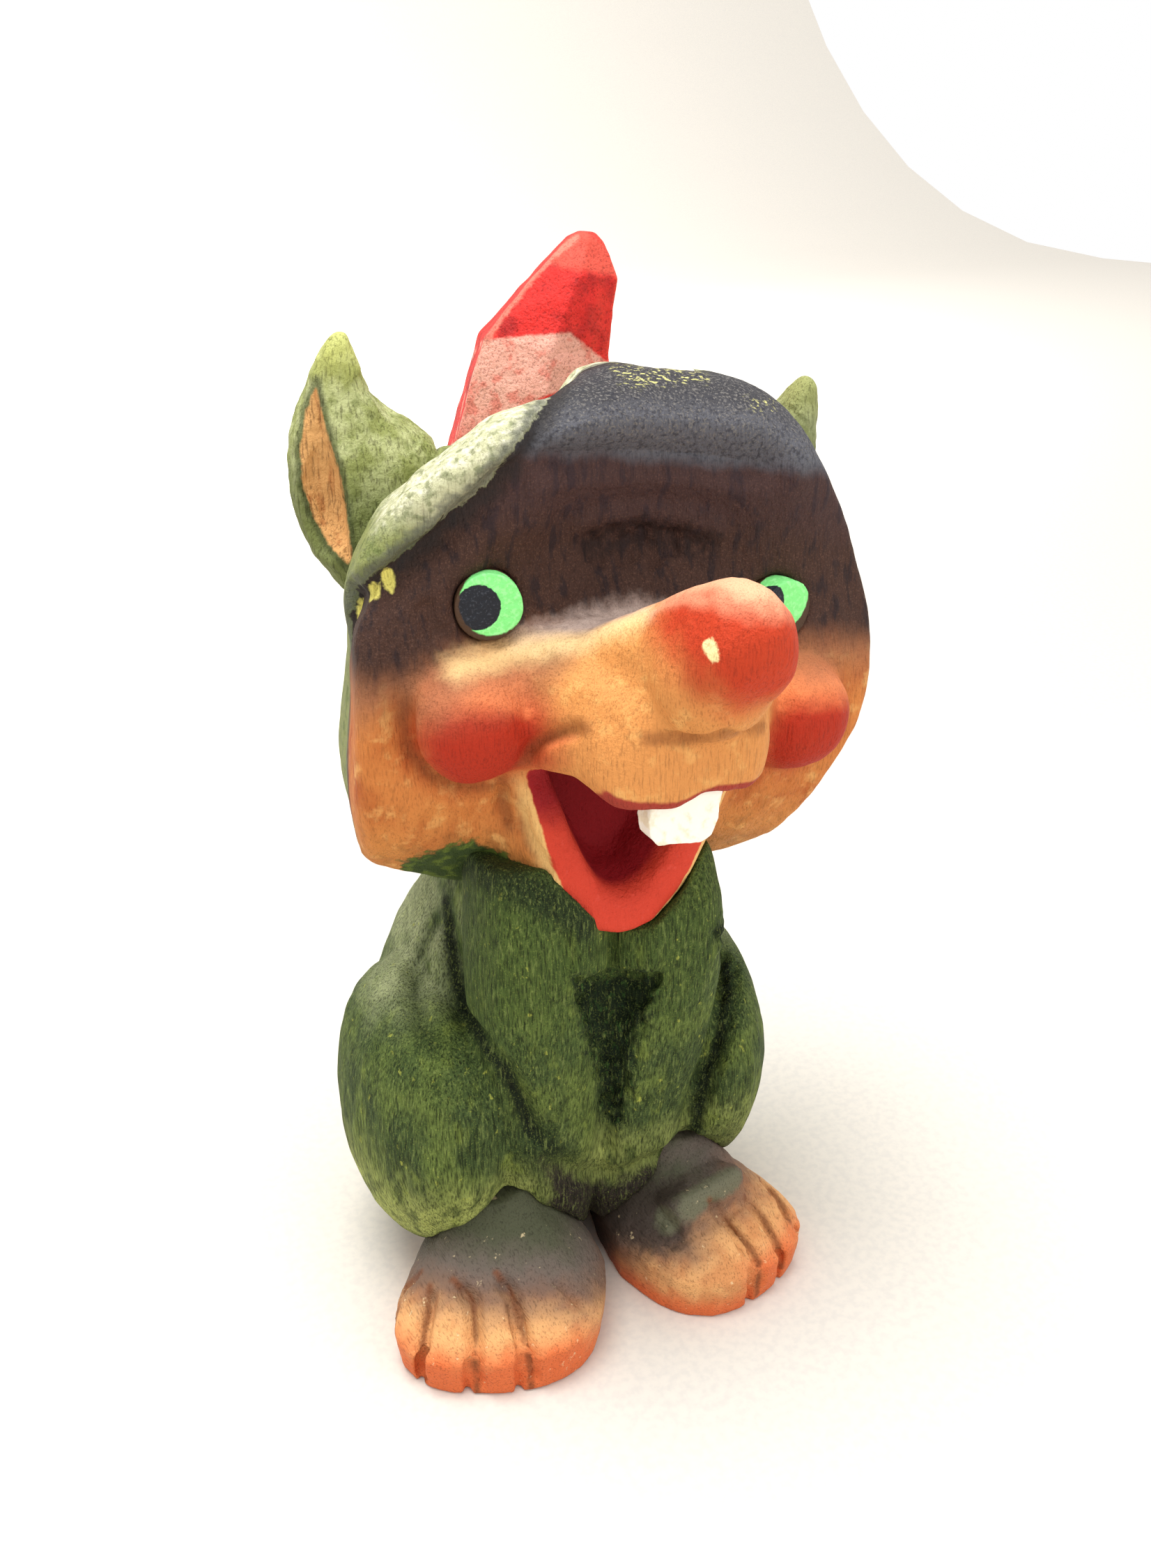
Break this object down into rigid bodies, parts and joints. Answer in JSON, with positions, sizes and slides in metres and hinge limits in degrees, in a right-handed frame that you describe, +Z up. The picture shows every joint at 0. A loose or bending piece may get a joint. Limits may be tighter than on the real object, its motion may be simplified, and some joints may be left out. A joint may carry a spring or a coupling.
{
  "type": "norwegian troll figure",
  "caption": "Hand-carved painted wooden troll squatting on big bare feet, with a pointed cap, upturned nose and open laughing mouth.",
  "frame": {"origin": "centre of the bounding box in plan, at the flat underside of the seat and soles", "axes": "+Z up to the cap tip, the figure looks along -Y, its own left side is +X"},
  "size_m": [0.0706, 0.069, 0.1292],
  "materials": {
    "body_paint": "matt green stain with the grain showing",
    "face_paint": "matt orange stain, dark brown brow, green back",
    "cap_paint": "matt red stain over flat knife cuts",
    "ear_paint": "matt green stain, brown inside",
    "eye_paint": "bright mint green paint with a black pupil",
    "tooth_paint": "cream white paint",
    "foot_paint": "matt orange stain, grey at the ankle",
    "bare_wood": "bare turned dowel"
  },
  "bodies": {
    "root": {"body": "body_paint", "head": "face_paint", "cap": "cap_paint", "ear_left": "ear_paint", "ear_right": "ear_paint", "eye_left": "eye_paint", "eye_right": "eye_paint", "tooth": "tooth_paint", "foot_left": "foot_paint", "foot_right": "foot_paint", "neck_dowel": "bare_wood", "cap_dowel": "bare_wood", "ankle_dowel_left": "bare_wood", "ankle_dowel_right": "bare_wood"}
  },
  "joints": []
}
